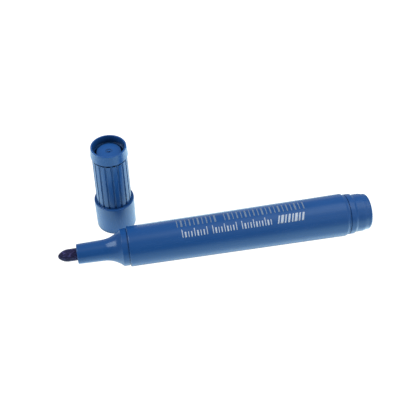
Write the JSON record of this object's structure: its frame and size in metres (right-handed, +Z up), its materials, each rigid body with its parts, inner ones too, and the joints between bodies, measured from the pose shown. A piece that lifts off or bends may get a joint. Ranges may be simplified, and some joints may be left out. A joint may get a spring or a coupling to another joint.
{
  "type": "felt tip marker",
  "caption": "Uncapped felt tip marker lying on its tapered barrel, with a fibre bullet nib in a flared nose, a stepped tail plug and a fluted vented cap standing on its mouth.",
  "frame": {"origin": "centre of the nose collar that the cap's mouth slides over, on the marker's axis", "axes": "+X along the marker from nib to tail, +Y to the side where the cap stands, +Z up; the table the row rests on is at z = -7.985 mm, and the marker's axis rises 0.46 degrees towards the tail because the tapered barrel lies on its side"},
  "size_m": [0.1262, 0.0402, 0.0406],
  "materials": {
    "body_plastic": "satin moulded polypropylene",
    "cap_plastic": "satin moulded polypropylene",
    "nib_fibre": "ink-soaked bonded fibre",
    "core_fibre": "ink-soaked loose fibre",
    "film": "clear thin film"
  },
  "bodies": {
    "marker": {"barrel": "body_plastic", "nose_cone": "body_plastic", "nib": "nib_fibre", "ink_core": "core_fibre", "core_wrap": "film", "tail_plug": "body_plastic"},
    "cap": {"cap_shell": "cap_plastic", "cap_seal_cup": "cap_plastic"}
  },
  "joints": [
    {"name": "cap_lift", "type": "slide", "parent": "marker", "child": "cap", "axis": [0, 0, 1], "range_m": [0, 0.06]}
  ]
}
